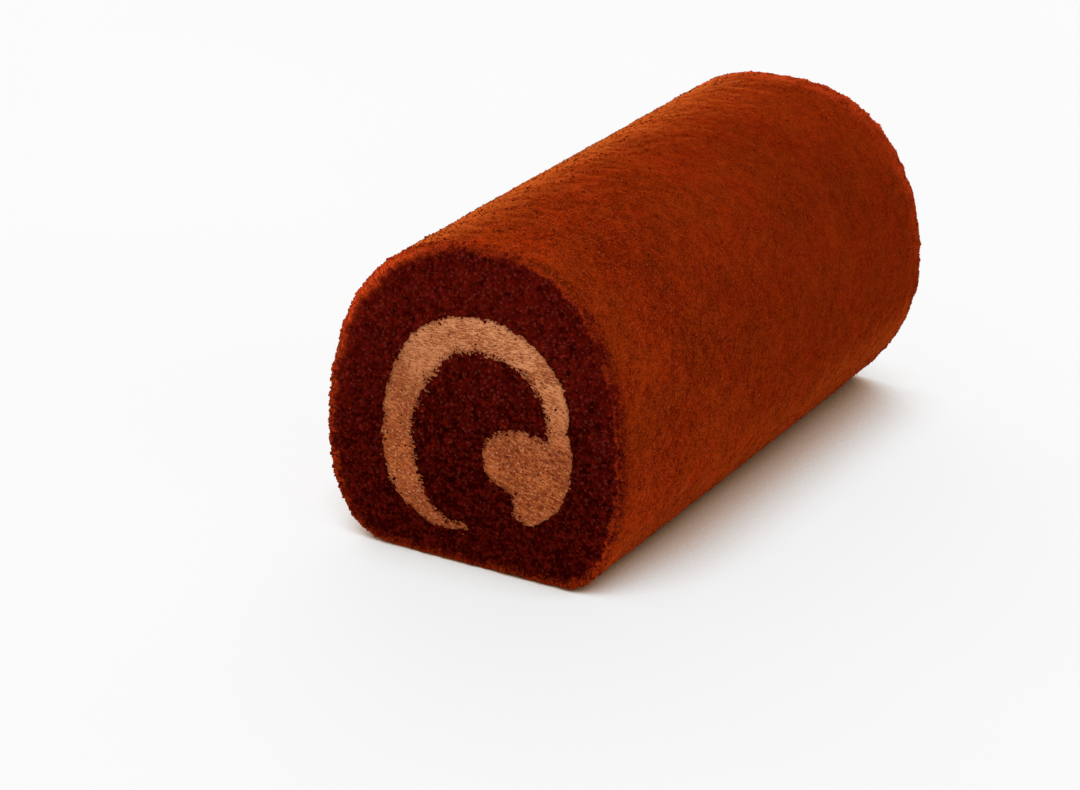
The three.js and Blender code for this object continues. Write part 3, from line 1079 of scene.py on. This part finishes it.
def cream_look():
    """Tan whipped cream, cut: drawn streaks, holes with painted shade, glints, crumb stains at its
    edge, and painted shade low down.
    """
    material, tree, shader = surface("cream", Specular_IOR_Level=0.15)
    place = add(tree, "TexCoord").outputs["Object"]
    across, _, up = add(tree, "SeparateXYZ", {0: place}).outputs
    turn = placed(tree, up, *TURN_SPAN, STROKE_TURN, TOP_TURN)
    middle = {"Center": (0, 0, AXIS_Z * MM), "Axis": (0, 1, 0)}
    turned = add(tree, "VectorRotate", {"Vector": place, "Angle": turn} | middle).outputs[0]
    drawn = add(tree, "Mapping", {"Vector": turned, "Scale": STREAK_STRETCH}).outputs[0]
    streak = texture(tree, drawn, STREAK, 1.0)
    grain = texture(tree, place, CREAM_GRAIN, 1.0)

    streaks = ranged(tree, streak, *CREAM_STREAKS)
    # the relief tone paints shade on low cream and light on high cream
    tone = total(
        tree,
        number(tree, "MULTIPLY_ADD", value_of(tree, "relief"), CREAM_RELIEF, streaks),
        ranged(tree, grain, *CREAM_GRAINS),
        placed(tree, across, *CREAM_TONE_LEFT),
        ranged(tree, texture(tree, place, CREAM_BLOTCH), *CREAM_BLOTCHES),
        clamp=True,
    )
    colour = mixed(tree, tone, CREAM_WARM, CREAM_PALE)
    # painted shade: darker from the top down
    colour = mixed(tree, placed(tree, up, *CREAM_SHADE_DOWN), colour, CREAM_SHADE_TINT, "MULTIPLY")
    glint = product(tree, dots(tree, place, *GLINTS), placed(tree, up, *GLINTS_DOWN))
    colour = mixed(tree, glint, colour, CREAM_GLINT)

    round_hole = dots(tree, place, *ROUND_HOLES)
    hole = number(tree, "MAXIMUM", round_hole, dots(tree, drawn, *DRAWN_HOLES))
    stain_and_shade = product(tree, value_of(tree, "edge"), ranged(tree, grain, *STAIN_GRAINS), STAIN_MOST)
    # the holes are painted dark, as shade in their hollows
    stain_and_shade = number(tree, "MAXIMUM", stain_and_shade, hole)
    height = number(tree, "SUBTRACT", total(tree, streak, grain), hole)
    bump = {"Height": height, "Strength": 1.0, "Distance": STREAK_BUMP * MM}
    finished(
        tree,
        shader,
        Base_Color=mixed(tree, stain_and_shade, colour, CREAM_STAIN_AND_HOLE_SHADE),
        Roughness=ranged(tree, grain, *CREAM_ROUGH),
        Normal=add(tree, "Bump", bump).outputs[0],
    )
    return material


# ---------------------------------------------------------------- camera, floor and light


def make_camera():
    """The camera at the photograph's viewing angle."""
    back = (Vector(CAMERA_AT) - Vector(CAMERA_AIM)).normalized()
    right = Vector((0, 0, 1)).cross(back).normalized()
    level = Matrix((right, back.cross(right), back)).transposed().to_4x4()
    camera = bpy.data.objects.new("camera", bpy.data.cameras.new("camera"))
    camera.data.lens = CAMERA_LENS
    camera.data.sensor_width = SENSOR_WIDTH
    camera.data.clip_end = CAMERA_REACH * MM
    turn = Matrix.Rotation(math.radians(CAMERA_ROLL), 4, "Z")
    camera.matrix_world = Matrix.Translation(Vector(CAMERA_AT) * MM) @ level @ turn
    bpy.context.scene.collection.objects.link(camera)
    bpy.context.scene.camera = camera


def floor_look():
    """A pale table that glows with painted light, with a warm painted shadow close to the roll."""
    material, tree, shader = surface("floor", Roughness=0.9, Specular_IOR_Level=0.0)
    place = add(tree, "TexCoord").outputs["Object"]
    along = add(tree, "SeparateXYZ", {0: place}).outputs[1]
    tone = ranged(tree, texture(tree, place, FLOOR_PATCH), *FLOOR_TONES)
    # painted contact shadow: the glow dims near the roll and warms as a painted reflection of it
    near = add(tree, "AmbientOcclusion", {"Distance": CONTACT * MM}, samples=8).outputs["AO"]
    near = ranged(tree, near, SHADOW_DEEPEST, placed(tree, along, *FLOOR_LIT))
    warm = ranged(tree, near, *SHADOW_WARM)
    finished(
        tree,
        shader,
        Base_Color=mixed(tree, tone, FLOOR_DARK, FLOOR_LIGHT),
        Emission_Color=mixed(tree, warm, PAINTED_BOUNCE_WARM, WHITE),
        Emission_Strength=product(tree, near, FLOOR_PAINTED_GLOW),
    )
    return material


def make_floor():
    """A wide level floor."""
    corners = np.array([(-1, -1, 0), (1, -1, 0), (1, 1, 0), (-1, 1, 0)]) * FLOOR_HALF
    mesh = bpy.data.meshes.new("floor")
    mesh.from_pydata((corners * MM).tolist(), [], [(0, 1, 2, 3)])
    mesh.materials.append(floor_look())
    floor = bpy.data.objects.new("floor", mesh)
    bpy.context.scene.collection.objects.link(floor)


def make_studio():
    """A light tent: an even sky that is brightest behind the roll on its left."""
    world = bpy.data.worlds.new("studio")
    world.use_nodes = True
    tree = world.node_tree
    sky = tree.nodes["Background"]
    way = add(tree, "TexCoord").outputs["Generated"]
    toward = add(tree, "VectorMath", {0: way, 1: KEY_WAY}, operation="DOT_PRODUCT").outputs["Value"]
    key = number(tree, "POWER", number(tree, "MAXIMUM", toward, 0.0), KEY_FALL)
    light = number(tree, "MULTIPLY_ADD", key, KEY, SKY)
    seen = add(tree, "LightPath").outputs["Is Camera Ray"]
    strength = add(tree, "Mix", {0: seen, 2: light, 3: BACKDROP}).outputs[0]
    tree.links.new(strength, sky.inputs["Strength"])
    sky.inputs["Color"].default_value = WHITE
    bpy.context.scene.world = world
    bpy.context.scene.view_settings.view_transform = "Standard"


make_camera()
make_studio()
make_floor()

rng = np.random.default_rng(SEED)
sponge_material = sponge_look()
cream_material = cream_look()
outline = cad_cream_outline()
cream_loop = evenly(outline, round(length_of(outline) / CREAM_EDGE_STEP))
cream_loop = blurred(cream_loop, CREAM_BLUR / CREAM_EDGE_STEP)
channel_out = outward(blurred(cream_loop, CHANNEL_BLUR / CREAM_EDGE_STEP))
channel = cream_loop + CAD_GAP * channel_out
rows = skin_rows()
near_end = make_end(-1, rows[0]["points"], cream_loop, rng)
far_end = make_end(1, rows[-1]["points"], cream_loop, rng)
ends = [near_end, far_end]
build_sponge(rows, ends, channel, sponge_material)
build_cream(ends, cream_loop, cream_material)
build_nap(rows, sponge_material, rng)
build_crumbs(rows, ends, sponge_material, rng)
build_flecks(ends, cream_material, rng)
